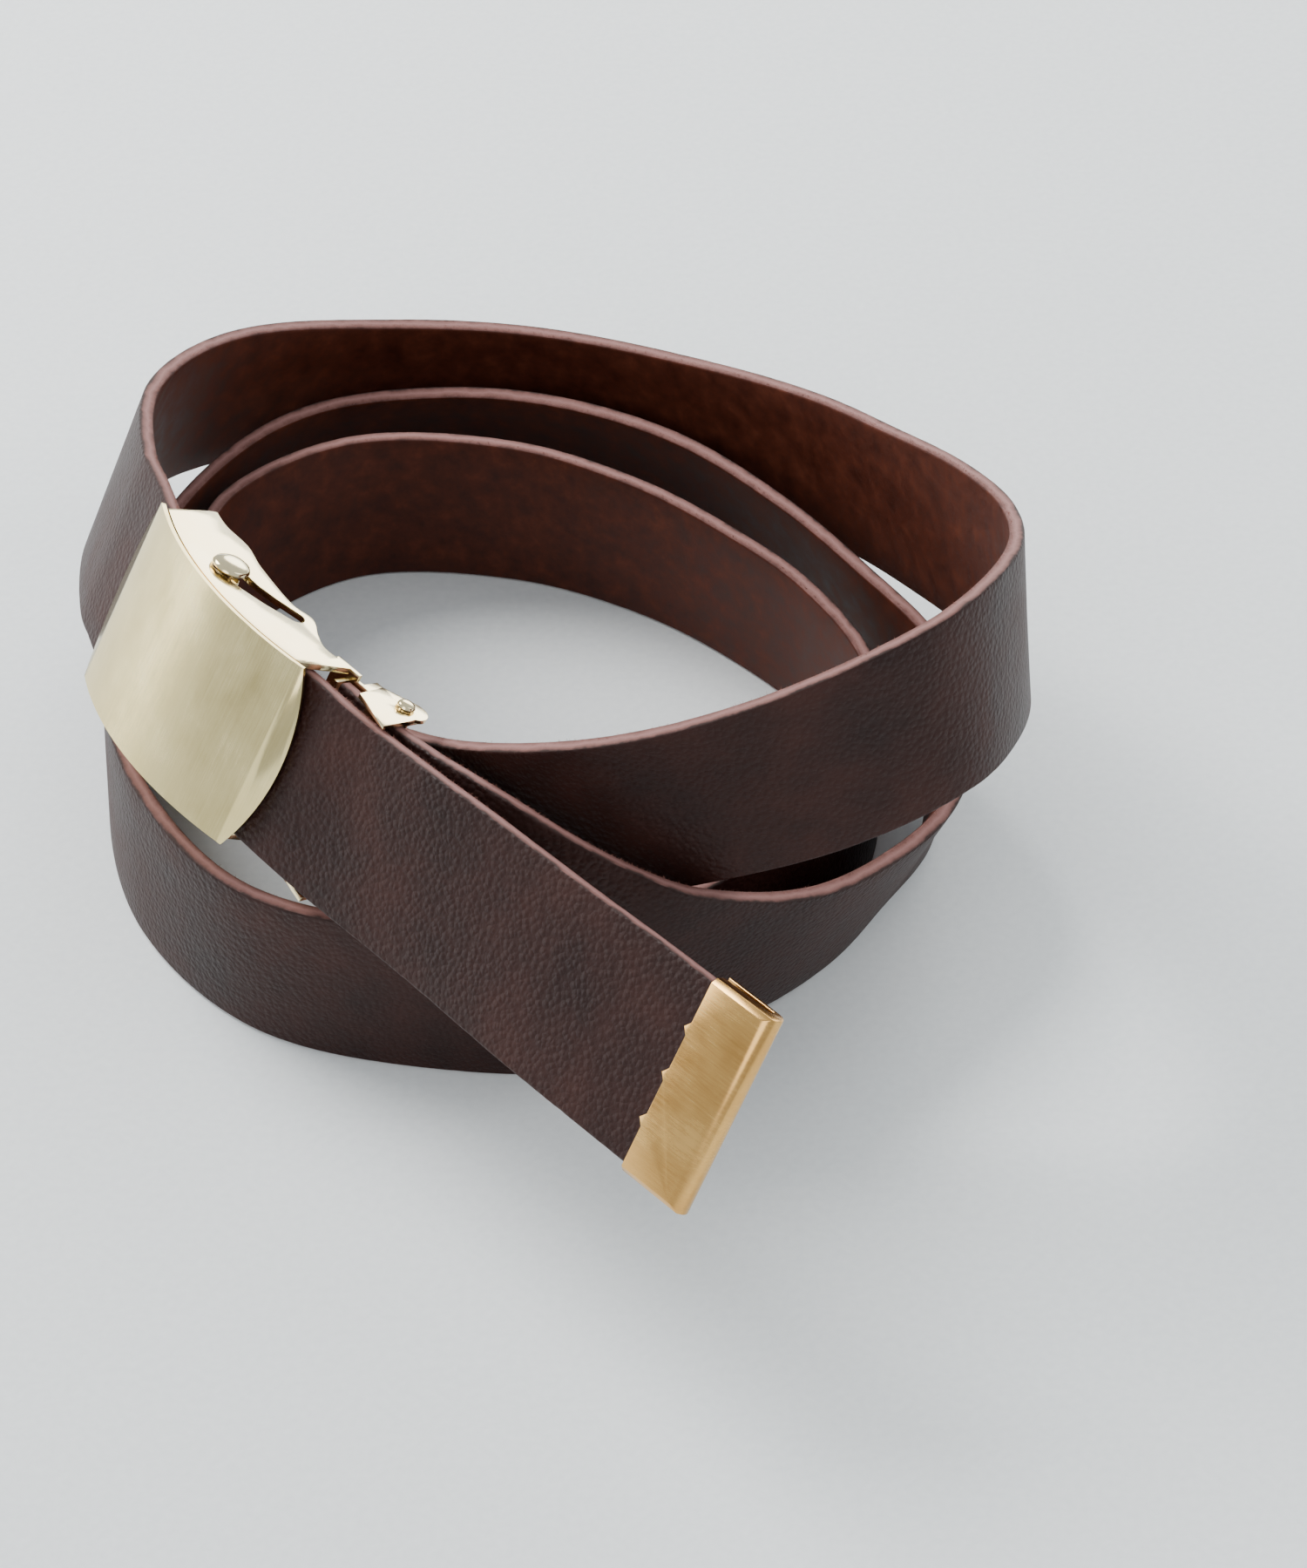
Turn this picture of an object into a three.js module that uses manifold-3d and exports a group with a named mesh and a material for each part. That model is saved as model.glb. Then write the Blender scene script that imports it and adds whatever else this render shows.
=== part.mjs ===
// A coiled leather belt, standing on its edge, with a sliding friction buckle and a folded metal tip.
// Millimetres, +Z up. The strap is one length of leather that goes round about three times:
// free end and tip, through the buckle, round the coil, and back into the buckle's clamp.

import * as THREE from 'three';
import { mergeVertices } from 'three/addons/utils/BufferGeometryUtils.js';
import Module from 'manifold-3d';

const wasm = await Module();
wasm.setup();
const rad = THREE.MathUtils.degToRad;

// ---------- strap ----------
const STRAP_WIDTH = 30;
const STRAP_THICKNESS = 2.5;
const STEPS_PER_SPAN = 5;

// ---------- clearances ----------
const FACE_GAP = 0.3;        // between a metal face and the next metal or leather face
const SIDE_GAP = 0.4;        // strap edge to the buckle's side walls
const STOREY_GAP = 0.5;      // upper turns over the edge of the lower turns

// ---------- buckle ----------
const PLATE_LENGTH = 43.6;   // front plate, crease to crease
const PLATE_BOW = 4.7;       // how far its middle stands proud of its creases
const PLATE_SHEET = 0.7;
const LIP_LENGTH = 3.4;      // arc-edged lips beyond the creases
const LIP_ANGLE = 30;
const BASE_SHEET = 0.6;      // the frame's sheet under the front plate
const BASE_SETBACK = 1.6;    // it ends this far short of each crease
const FLANGE = 1.0;          // side walls, drawn out at the edge of the base sheet
const BAR_DIAMETER = 4.2;
const BAR_NECK = 1.8;        // where the bar passes through the slots
const BAR_HEAD = 6.2;
const BAR_HEAD_HEIGHT = 1.5;
const BAR_FLUTES = 18;
const BAR_LOCKED_AT = -4;    // along the plate, from its middle
const BAR_PATH_ANGLE = 20;
const BAR_TRAVEL = 10.5;
const EXIT_ANGLE = 13;       // the strap leaves the buckle's right end at this angle to the plate
const ARM_SHEET = 0.7;       // the frame's rear plate, behind the clamped end
const JAW_SHEET = 0.7;
const JAW_TOOTH = 0.3;
const JAW_PLAY = 0.6;        // jaw to the free strap, which lets the jaw lift a little
const JAW_PLATE_LENGTH = 3.2;
const JAW_TEETH = 9;
const PIVOT_ALONG = 9.1;     // past the front plate's right lip
const PIVOT_SEAT = 0.4;      // lug material between the rivet's head and the clamped strap
const RIVET_SHANK = 1.8;
const RIVET_HEAD = 3.0;
const RIVET_HEAD_HEIGHT = 0.8;

// ---------- tip ----------
const TIP_LENGTH = 11.7;
const TIP_SHEET = 0.6;
const TIP_BEVEL = 0.8;
const TIP_TEETH = 3;
const TIP_TOOTH_WIDTH = 2.8;
const TIP_TOOTH_LENGTH = 0.9;

// ---------- where the front plate's right crease sits, from the middle of the coil ----------
const BUCKLE_PLACE = [-41.652, -55.645];
const BUCKLE_LEVEL = 1.16774;   // the clamped end's lower edge, in strap widths
const BUCKLE_HEADING = -57;
const BUCKLE_DIP = 3.7;
const BUCKLE_LEAN = -27.3;

// ---------- sizes that follow ----------
const storey = STRAP_WIDTH + STOREY_GAP;
const halfStrap = STRAP_THICKNESS / 2;
const wallInside = STRAP_WIDTH / 2 + SIDE_GAP;
const wallOutside = wallInside + FLANGE;
const plateRadius = (PLATE_LENGTH ** 2 / 4 + PLATE_BOW ** 2) / (2 * PLATE_BOW);
const plateCentre = plateRadius - PLATE_BOW;
const baseFront = PLATE_SHEET + FACE_GAP;
const baseBack = baseFront + BASE_SHEET;
const strapBehindPlate = baseBack + FACE_GAP + halfStrap;
const lipInnerAlong = PLATE_LENGTH / 2 + LIP_LENGTH * Math.cos(rad(LIP_ANGLE)) - PLATE_SHEET * Math.sin(rad(LIP_ANGLE));
const lipInnerBehind = LIP_LENGTH * Math.sin(rad(LIP_ANGLE)) + PLATE_SHEET * Math.cos(rad(LIP_ANGLE));
const baseReach = PLATE_LENGTH / 2 - BASE_SETBACK;
const jawFront = halfStrap + JAW_PLAY;
const clampedMiddle = jawFront + JAW_SHEET + JAW_TOOTH + FACE_GAP + halfStrap;
const armFront = clampedMiddle + halfStrap + FACE_GAP;
const armBack = armFront + ARM_SHEET;
const pivotBehind = armFront + RIVET_HEAD / 2 + PIVOT_SEAT;
const earInside = wallInside + FACE_GAP;
const earOutside = earInside + JAW_SHEET;

// Depth behind the chord of a sheet that lies `offset` behind the front plate's outer face.
function bowedDepth(along, offset) {
  const radius = plateRadius - offset;
  return plateCentre - Math.sqrt(radius ** 2 - along ** 2);
}

// ---------- groups: the whole belt, the coil's frame, the buckle and its clamp ----------
const belt = new THREE.Group();
const coil = new THREE.Group();
const buckle = new THREE.Group();
const clamp = new THREE.Group();
belt.add(coil);
coil.add(buckle);
buckle.add(clamp);
const clampedDrop = clampedMiddle * Math.sin(-rad(BUCKLE_LEAN));
const buckleHeight = BUCKLE_LEVEL * storey + STRAP_WIDTH / 2 * Math.cos(rad(BUCKLE_LEAN)) + clampedDrop;
buckle.position.set(BUCKLE_PLACE[0], BUCKLE_PLACE[1], buckleHeight);
buckle.rotation.set(rad(BUCKLE_LEAN), rad(BUCKLE_DIP), rad(BUCKLE_HEADING), 'ZYX');
buckle.translateX(-PLATE_LENGTH / 2);
const offLip = FACE_GAP + halfStrap;
clamp.position.x = lipInnerAlong - offLip * Math.sin(rad(EXIT_ANGLE));
clamp.position.y = lipInnerBehind + offLip * Math.cos(rad(EXIT_ANGLE));
clamp.rotation.z = rad(EXIT_ANGLE);
clamp.updateMatrix();
belt.updateMatrixWorld(true);

function placeFrom(group, along, behind, up = 0) {
  return group.localToWorld(new THREE.Vector3(along, behind, up));
}
const acrossBuckle = new THREE.Vector3(0, 0, 1).transformDirection(buckle.matrixWorld);

// ---------- the strap's route ----------
// Free run, from the strap's end to the buckle, in the clamp's frame: [along, behind, up, twist].
const FREE_RUN = [
  [93.4, -7.9, 9.7, 7],
  [74.6, -6.1, 7.5, 7],
  [57.5, -4.5, 5.4, 5],
  [39.2, -2.6, 3.4, 2],
  [24, -1.2, 1.6, 0],
  [12, -0.1, 0.2, 0],
  [4, 0, 0, 0],
];

// Through the buckle, right to left: [share of half the plate, slack behind the base sheet].
const UNDER_PLATE = [[0.92, 0.35], [0.6, 0.9], [0.28, 0.5], [-0.09, 0], [-0.46, 0.05], [-0.92, 0.2]];

// Then out past the left lip: this far along, and this far further back than the lip lets it pass.
const PAST_LEFT_LIP = 5.6;
const LEFT_LIP_SLACK = 2.2;

// Round the coil, clockwise from above. Each row is one place on the way round:
// [compass angle, radius without the turns inside it, turns inside it, height in strap widths, lean].
const COIL = [
  [180, 63, 2, 1.17, -25],
  [158, 70, 2, 0.94, -20],
  [136, 77, 2, 0.61, -16],
  [114, 77.5, 2, 0.31, -14],
  [92, 70.2, 2, 0.25, -11],
  [66, 60, 2, 0.36, -8],
  [40, 56, 2, 0.56, -5],
  [20, 57, 2, 0.75, -4],
  [0, 63, 2, 1.01, -2],
  [-16, 71, 2, 1.26, -4],
  [-32, 78, 2, 1.55, -8],
  [-46, 84, 1, 1.69, -12],
  [-60, 80.6, 0, 1.5, -6],
  [-76, 71.7, 0, 1.23, 3],
  [-96, 61, 0, 0.88, 2],
  [-120, 50, 0, 0.56, 0],
  [-144, 48, 0, 0.38, 0],
  [-168, 52, 0, 0.21, 0],
  [-192, 59, 0, 0.06, 1],
  [-214, 65, 0, 0, 1],
  [-236, 62, 0, 0, -2],
  [-262, 51, 0, 0, -3],
  [-290, 43, 0, 0, -5],
  [-318, 41, 0, 0, -6],
  [-344, 45, 0, 0, -5],
  [-370, 53, 0, 0, -2],
  [-395, 58, 0, 0, 0],
  [-420, 63, 0, 0, 1],
  [-442, 70, 0, 0, 1],
  [-464, 72, 0, 0, 2],
  [-486, 75.8, 0, 0, 2],
  [-508, 74, 0, 0, -2],
  [-530, 69, 1, 0, -2],
  [-552, 68, 1, 0, -4],
  [-574, 71, 1, 0, -8],
  [-594, 77, 1, 0, -20],
  [-612, 75, 1, 0, -25],
  [-630, 68.2, 1, 0, -23],
  [-652, 60, 1, 0, -20],
  [-678, 54, 1, 0, -17],
  [-702, 54, 1, 0, -10],
  [-722, 60, 1, 0, 0],
  [-738, 65, 1, 0, 14],
  [-752, 66, 1, 0, 24],
  [-766, 67, 1, 0, 22],
  [-782, 70, 1, 0.11, 17],
  [-798, 75.2, 1, 0.44, 7],
];

// Up to the clamp and into it, ending at the stop: [along, behind its place in the clamp, up].
const CLAMPED_RUN = [
  [49, 12.8, 0.2],
  [41, 6.2, 1.4],
  [32, 1.9, 2.2],
  [22, 0.2, 1.2],
  [13, 0, 0.2],
  [7, 0, 0],
  [0, 0, 0],
];

const route = [];
const alongBuckle = new THREE.Vector3(1, 0, 0).transformDirection(buckle.matrixWorld);
for (const [along, behind, up, twist] of FREE_RUN) {
  const across = acrossBuckle.clone().applyAxisAngle(alongBuckle, -rad(twist));
  route.push({ at: placeFrom(clamp, along, behind, up), across });
}
for (const [share, slack] of UNDER_PLATE) {
  const along = share * PLATE_LENGTH / 2;
  route.push({ at: placeFrom(buckle, along, bowedDepth(along, strapBehindPlate) + slack), across: acrossBuckle });
}
const leftOut = placeFrom(buckle, -lipInnerAlong - PAST_LEFT_LIP, lipInnerBehind + offLip + LEFT_LIP_SLACK);
route.push({ at: leftOut, across: acrossBuckle });
for (const [angle, bareRadius, inside, level, lean] of COIL) {
  const radius = bareRadius + inside * STRAP_THICKNESS;
  const height = level * storey + STRAP_WIDTH / 2 * Math.cos(rad(lean)) + halfStrap * Math.abs(Math.sin(rad(lean)));
  const at = new THREE.Vector3(radius * Math.cos(rad(angle)), radius * Math.sin(rad(angle)), height);
  route.push({ at, lean });
}
for (const [along, behind, up] of CLAMPED_RUN) {
  route.push({ at: placeFrom(clamp, along, clampedMiddle + behind, up), across: acrossBuckle });
}

const middleLine = new THREE.CatmullRomCurve3(route.map((point) => point.at));
const UP = new THREE.Vector3(0, 0, 1);
route.forEach((point, i) => {
  if (point.across) return;
  const forward = middleLine.getTangent(i / (route.length - 1));
  const outward = new THREE.Vector3().crossVectors(UP, forward).normalize();
  const upward = new THREE.Vector3().crossVectors(forward, outward);
  point.across = upward.multiplyScalar(Math.cos(rad(point.lean))).addScaledVector(outward, Math.sin(rad(point.lean)));
});
const acrossLine = new THREE.CatmullRomCurve3(route.map((point) => point.across), false, 'catmullrom');

// The strap's own frame at a share of its route: forward, across (its width) and out (its grain side).
function strapFrame(share) {
  const at = middleLine.getPoint(share);
  const forward = middleLine.getTangent(share);
  const across = acrossLine.getPoint(share);
  across.addScaledVector(forward, -across.dot(forward)).normalize();
  const out = new THREE.Vector3().crossVectors(across, forward);
  return { at, forward, across, out };
}

// ---------- solids ----------
function solidOf(geometry) {
  const bare = geometry.clone();
  bare.deleteAttribute('normal');
  bare.deleteAttribute('uv');
  const merged = mergeVertices(bare, 1e-4);
  const vertProperties = new Float32Array(merged.attributes.position.array);
  const triVerts = new Uint32Array(merged.index.array);
  return new wasm.Manifold(new wasm.Mesh({ numProp: 3, vertProperties, triVerts }));
}

function geometryOf(solid) {
  const mesh = solid.getMesh();
  const geometry = new THREE.BufferGeometry();
  geometry.setAttribute('position', new THREE.BufferAttribute(new Float32Array(mesh.vertProperties), 3));
  geometry.setIndex(new THREE.BufferAttribute(new Uint32Array(mesh.triVerts), 1));
  return geometry;
}

function joined(solids) {
  return solids.reduce((whole, next) => whole.add(next));
}

// An outline in the along/behind plane, given a height across the strap.
function slab(shape, low, high, curveSegments = 12) {
  const geometry = new THREE.ExtrudeGeometry(shape, { depth: high - low, bevelEnabled: false, curveSegments });
  return geometry.translate(0, 0, low);
}

function block(lowAlong, highAlong, lowBehind, highBehind, low, high) {
  const geometry = new THREE.BoxGeometry(highAlong - lowAlong, highBehind - lowBehind, high - low);
  return geometry.translate((lowAlong + highAlong) / 2, (lowBehind + highBehind) / 2, (low + high) / 2);
}

function pin(along, behind, radius, low, high) {
  const geometry = new THREE.CylinderGeometry(radius, radius, high - low, 24).rotateX(Math.PI / 2);
  return geometry.translate(along, behind, (low + high) / 2);
}

// A sheet bent to the plate's bow: its outer face lies `front` behind the plate's outer face.
function bowedSheet(reach, front, sheet, halfHeight) {
  const outer = plateRadius - front;
  const turn = Math.asin(reach / outer);
  const inner = outer - sheet;
  const shape = new THREE.Shape();
  shape.absarc(0, plateCentre, outer, -Math.PI / 2 - turn, -Math.PI / 2 + turn, false);
  shape.absarc(0, plateCentre, inner, -Math.PI / 2 + turn, -Math.PI / 2 - turn, true);
  return slab(shape, -halfHeight, halfHeight, 24);
}

function strapGeometry() {
  const spans = (route.length - 1) * STEPS_PER_SPAN;
  const geometry = new THREE.BoxGeometry(1, 1, 1, spans, 1, 1);
  const position = geometry.attributes.position;
  for (let i = 0; i < position.count; i++) {
    const frame = strapFrame(position.getX(i) + 0.5);
    const point = frame.at.clone();
    point.addScaledVector(frame.out, position.getY(i) * STRAP_THICKNESS);
    point.addScaledVector(frame.across, position.getZ(i) * STRAP_WIDTH);
    position.setXYZ(i, point.x, point.y, point.z);
  }
  return geometry;
}

// Front plate: the bowed sheet, with a lip beyond each crease whose free edge is an arc.
function frontPlateSolid() {
  const lipShape = new THREE.Shape();
  const lipRadius = (wallOutside ** 2 + LIP_LENGTH ** 2) / (2 * LIP_LENGTH);
  const lipTurn = Math.asin(wallOutside / lipRadius);
  lipShape.absarc(LIP_LENGTH - lipRadius, 0, lipRadius, -lipTurn, lipTurn, false);
  const lip = new THREE.ExtrudeGeometry(lipShape, { depth: PLATE_SHEET, bevelEnabled: false, curveSegments: 24 });
  lip.rotateX(Math.PI / 2).translate(0, PLATE_SHEET, 0);
  lip.rotateZ(rad(LIP_ANGLE)).translate(PLATE_LENGTH / 2, 0, 0);
  const right = solidOf(lip);
  return joined([solidOf(bowedSheet(PLATE_LENGTH / 2, 0, PLATE_SHEET, wallOutside)), right, right.mirror([1, 0, 0])]);
}

// The slot in each side wall narrows along the bar's way: [along, behind, radius] of its rounds.
const SLOT_ROUNDS = [[-0.2, -0.3, 1.6], [4.5, 0.9, 1.1], [8, 2.5, 0.9], [12.2, 5, 0.6]];
const barBehind = bowedDepth(BAR_LOCKED_AT, strapBehindPlate) + halfStrap + FACE_GAP + BAR_DIAMETER / 2;

function taperedSlot([x0, y0, r0], [x1, y1, r1]) {
  const heading = Math.atan2(y1 - y0, x1 - x0);
  const splay = Math.acos((r0 - r1) / Math.hypot(x1 - x0, y1 - y0));
  const shape = new THREE.Shape();
  shape.absarc(x0, y0, r0, heading + splay, heading - splay + 2 * Math.PI, false);
  shape.absarc(x1, y1, r1, heading - splay, heading + splay, false);
  return solidOf(slab(shape, -wallOutside - 1, wallOutside + 1, 10));
}

function slotSolid() {
  const rounds = SLOT_ROUNDS.map(([along, behind, margin]) => [
    BAR_LOCKED_AT + along, barBehind + behind, BAR_NECK / 2 + margin,
  ]);
  return joined(rounds.slice(1).map((next, i) => taperedSlot(rounds[i], next)));
}

// Side wall outline behind the base sheet, from its foot at the right to its left corner: [along, behind].
const WALL_EDGE = [
  [16.6, 7.8], [13, 8.5], [8.6, 10.3], [4.4, 8.7], [-5, 8.9], [-10.6, 9.9], [-16, 9.1], [-20, 9.6],
];

function frameSolid() {
  const outer = plateRadius - baseFront;
  const turn = Math.asin(baseReach / outer);
  const footFront = new THREE.Vector3(-1.4, armFront, 0).applyMatrix4(clamp.matrix);
  const footBack = new THREE.Vector3(-1.4, armBack, 0).applyMatrix4(clamp.matrix);
  const wall = new THREE.Shape();
  wall.absarc(0, plateCentre, outer, -Math.PI / 2 - turn, -Math.PI / 2 + turn, false);
  wall.lineTo(footFront.x, footFront.y);
  wall.lineTo(footBack.x, footBack.y);
  wall.splineThru(WALL_EDGE.map(([along, behind]) => new THREE.Vector2(along, behind)));
  wall.lineTo(-baseReach, 8.2);
  const walls = [slab(wall, wallInside, wallOutside, 6), slab(wall, -wallOutside, -wallInside, 6)].map(solidOf);
  const base = solidOf(bowedSheet(baseReach, baseFront, BASE_SHEET, wallOutside));

  const lugBack = pivotBehind + RIVET_HEAD / 2 + PIVOT_SEAT;
  const armEnd = PIVOT_ALONG - RIVET_HEAD / 2 - 2 * FACE_GAP;
  const lugEnd = PIVOT_ALONG + RIVET_HEAD / 2 + PIVOT_SEAT;
  const rear = [
    block(-4.4, 0.6, armFront, armBack, -wallOutside, wallOutside),
    block(0, armEnd, armFront, armBack, -wallInside, wallInside),
    block(-1.4, -0.6, clampedMiddle - halfStrap, armBack, 0.6 - wallInside, wallInside - 0.6),
    block(1.6, lugEnd, armFront, lugBack, wallInside - FLANGE, wallInside),
    block(1.6, lugEnd, armFront, lugBack, -wallInside, FLANGE - wallInside),
  ];
  const pivotHole = pin(PIVOT_ALONG, pivotBehind, RIVET_SHANK / 2 + FACE_GAP, -wallOutside, wallOutside);
  const rearSolids = rear.map((part) => solidOf(part.applyMatrix4(clamp.matrix)));
  const whole = joined([base, ...walls, ...rearSolids]);
  return whole.subtract(slotSolid()).subtract(solidOf(pivotHole.applyMatrix4(clamp.matrix)));
}

// Locking bar: a fluted roller between the walls, thin necks in the slots and a domed head outside each.
function barSolid() {
  const flutes = new THREE.Shape();
  for (let i = 0; i < BAR_FLUTES * 2; i++) {
    const radius = BAR_DIAMETER / 2 - (i % 2) * 0.2;
    const angle = i * Math.PI / BAR_FLUTES;
    flutes.lineTo(radius * Math.cos(angle), radius * Math.sin(angle));
  }
  const bodyEnd = wallInside - FACE_GAP;
  const headBase = wallOutside + FACE_GAP;
  const headRadius = BAR_HEAD / 2;
  const dome = [new THREE.Vector2(0, 0), new THREE.Vector2(headRadius * 0.94, 0), new THREE.Vector2(headRadius, 0.3)];
  for (const angle of [25, 50, 70]) {
    const height = 0.3 + (BAR_HEAD_HEIGHT - 0.3) * Math.sin(rad(angle));
    dome.push(new THREE.Vector2(headRadius * Math.cos(rad(angle)), height));
  }
  dome.push(new THREE.Vector2(0, BAR_HEAD_HEIGHT));
  const head = solidOf(new THREE.LatheGeometry(dome, 24).rotateX(Math.PI / 2).translate(0, 0, headBase));
  const neck = solidOf(pin(0, 0, BAR_NECK / 2, -headBase - 0.2, headBase + 0.2));
  return joined([solidOf(slab(flutes, -bodyEnd, bodyEnd)), neck, head, head.mirror([0, 0, 1])]);
}

// Clamp jaw: two ears on the pivot rivets, joined by a toothed plate in front of the clamped end.
function jawSolid() {
  const plateLow = PIVOT_ALONG - 2.6;
  const plateHigh = plateLow + JAW_PLATE_LENGTH;
  const ear = new THREE.Shape();
  ear.moveTo(PIVOT_ALONG - 4.8, jawFront + 0.4);
  ear.lineTo(PIVOT_ALONG + 3, jawFront - 2.2);
  ear.lineTo(PIVOT_ALONG + 3, pivotBehind - 2);
  ear.absarc(PIVOT_ALONG + 0.9, pivotBehind + 0.7, 2.5, -Math.PI / 5, Math.PI * 0.7, false);
  ear.lineTo(PIVOT_ALONG - 5.2, pivotBehind + 0.2);
  const teeth = [];
  const pitch = (STRAP_WIDTH - 2) / JAW_TEETH;
  for (let i = 0; i < JAW_TEETH; i++) {
    const middle = (i - (JAW_TEETH - 1) / 2) * pitch;
    const tooth = new THREE.Shape();
    tooth.moveTo(plateLow, jawFront + JAW_SHEET - 0.2);
    tooth.lineTo(plateLow + 1.4, jawFront + JAW_SHEET - 0.2);
    tooth.lineTo(plateLow, jawFront + JAW_SHEET + JAW_TOOTH);
    teeth.push(solidOf(slab(tooth, middle - pitch * 0.3, middle + pitch * 0.3)));
  }
  const plate = solidOf(block(plateLow, plateHigh, jawFront, jawFront + JAW_SHEET, -earOutside, earOutside));
  const ears = [slab(ear, earInside, earOutside, 8), slab(ear, -earOutside, -earInside, 8)].map(solidOf);
  const hole = solidOf(pin(PIVOT_ALONG, pivotBehind, RIVET_SHANK / 2 + FACE_GAP, -earOutside - 1, earOutside + 1));
  return joined([plate, ...ears, ...teeth]).subtract(hole);
}

// Pivot rivet: a shank through one ear and one lug, domed outside the ear, flat inside the lug.
function rivetGeometry() {
  const inner = wallInside - FLANGE - FACE_GAP;
  const outer = earOutside + FACE_GAP;
  const profile = [
    [0, inner - 0.5], [RIVET_HEAD / 2, inner - 0.5], [RIVET_HEAD / 2, inner], [RIVET_SHANK / 2, inner],
    [RIVET_SHANK / 2, outer], [RIVET_HEAD / 2, outer], [RIVET_HEAD * 0.42, outer + RIVET_HEAD_HEIGHT * 0.6],
    [RIVET_HEAD * 0.2, outer + RIVET_HEAD_HEIGHT * 0.92], [0, outer + RIVET_HEAD_HEIGHT],
  ];
  const points = profile.map(([radius, height]) => new THREE.Vector2(radius, height));
  return new THREE.LatheGeometry(points, 20).rotateX(Math.PI / 2);
}

// Tip: one sheet folded round the end of the strap, with side flaps and crimp teeth on its front.
function tipSolid() {
  const inside = halfStrap + FACE_GAP;
  const outside = inside + TIP_SHEET;
  const halfInside = STRAP_WIDTH / 2 + FACE_GAP;
  const halfOutside = halfInside + TIP_SHEET;
  const mouth = outside - TIP_LENGTH;
  const body = new THREE.Shape();
  body.moveTo(mouth, -outside);
  body.lineTo(0, -outside);
  body.absarc(0, 0, outside, -Math.PI / 2, Math.PI / 2, false);
  body.lineTo(mouth, outside);
  const pocket = new THREE.Shape();
  pocket.moveTo(mouth - 1, -inside);
  pocket.lineTo(0, -inside);
  pocket.absarc(0, 0, inside, -Math.PI / 2, Math.PI / 2, false);
  pocket.lineTo(mouth - 1, inside);
  const bevel = new THREE.Shape();
  bevel.moveTo(-outside - 1, halfOutside - TIP_BEVEL - 1);
  bevel.lineTo(-outside + TIP_BEVEL + 1, halfOutside + 1);
  bevel.lineTo(-outside - 1, halfOutside + 1);
  const bevelCut = new THREE.ExtrudeGeometry(bevel, { depth: TIP_LENGTH + 4, bevelEnabled: false });
  // the profile's own x and y become behind and across
  bevelCut.applyMatrix4(new THREE.Matrix4().makeBasis(
    new THREE.Vector3(0, 1, 0), new THREE.Vector3(0, 0, 1), new THREE.Vector3(1, 0, 0),
  ));
  bevelCut.translate(mouth - 1, 0, 0);
  const slit = solidOf(block(mouth - 1, -0.4, inside * 0.3, inside, halfInside - 0.5, halfOutside + 1));
  const cut = solidOf(bevelCut);
  let tip = solidOf(slab(body, -halfOutside, halfOutside, 10));
  const hollow = solidOf(slab(pocket, -halfInside, halfInside, 10));
  for (const gone of [hollow, slit, slit.mirror([0, 0, 1]), cut, cut.mirror([0, 0, 1])]) tip = tip.subtract(gone);
  for (let i = 0; i < TIP_TEETH; i++) {
    const middle = ((i + 1) / (TIP_TEETH + 1) - 0.5) * STRAP_WIDTH;
    const tooth = new THREE.Shape();
    tooth.moveTo(0.3, -TIP_TOOTH_WIDTH / 2);
    tooth.lineTo(0.3, TIP_TOOTH_WIDTH / 2);
    tooth.lineTo(-TIP_TOOTH_LENGTH, 0);
    const wedge = new THREE.ExtrudeGeometry(tooth, { depth: TIP_SHEET, bevelEnabled: false });
    wedge.rotateX(Math.PI / 2).translate(mouth, -inside, middle);
    tip = tip.add(solidOf(wedge));
  }
  return tip;
}

// ---------- finishes ----------
const leather = new THREE.MeshStandardMaterial({ color: 0x3b2824, roughness: 0.55, metalness: 0 });
const paleGold = new THREE.MeshStandardMaterial({ color: 0xd2ccb8, roughness: 0.35, metalness: 1 });
const brightGold = new THREE.MeshStandardMaterial({ color: 0xefe6c8, roughness: 0.15, metalness: 1 });
const warmGold = new THREE.MeshStandardMaterial({ color: 0xc9a876, roughness: 0.3, metalness: 1 });

function addPart(group, name, geometry, material) {
  geometry.computeVertexNormals();
  const mesh = new THREE.Mesh(geometry, material);
  mesh.name = name;
  group.add(mesh);
  return mesh;
}

// ---------- assembly ----------
addPart(coil, 'leather_strap', strapGeometry(), leather);
addPart(buckle, 'front_plate', geometryOf(frontPlateSolid()), paleGold);
addPart(buckle, 'buckle_frame', geometryOf(frameSolid()), brightGold);
addPart(buckle, 'locking_bar', geometryOf(barSolid()), brightGold).position.set(BAR_LOCKED_AT, barBehind, 0);
addPart(clamp, 'clamp_jaw', geometryOf(jawSolid()), brightGold);
addPart(clamp, 'upper_pivot_rivet', rivetGeometry(), brightGold).position.set(PIVOT_ALONG, pivotBehind, 0);
const lowerRivet = addPart(clamp, 'lower_pivot_rivet', rivetGeometry(), brightGold);
lowerRivet.position.set(PIVOT_ALONG, pivotBehind, 0);
lowerRivet.rotation.x = Math.PI;

const end = strapFrame(0);
const tip = addPart(coil, 'strap_tip', geometryOf(tipSolid()), warmGold);
tip.position.copy(end.at);
tip.quaternion.setFromRotationMatrix(
  new THREE.Matrix4().makeBasis(end.forward.clone().negate(), end.out.clone().negate(), end.across),
);

// The belt stands on z = 0 with its box centred on the origin.
belt.updateMatrixWorld(true);
const box = new THREE.Box3().setFromObject(belt, true);
belt.position.set(-(box.min.x + box.max.x) / 2, -(box.min.y + box.max.y) / 2, -box.min.z);
belt.updateMatrixWorld(true);

export default belt;
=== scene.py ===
# %% [markdown]
# # A coiled leather belt
# The belt stands on its edge in a loose coil. One strap goes round nearly three times, passes through
# its own buckle, and ends in a folded metal tip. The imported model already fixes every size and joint.
# This lesson dresses it: the strap is swept again with soft corners and real leather, and each metal
# piece gets fine bevels and its own finish.

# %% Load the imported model
import math
import bpy
import bmesh
from mathutils import Euler, Matrix, Vector, noise as wander


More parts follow.
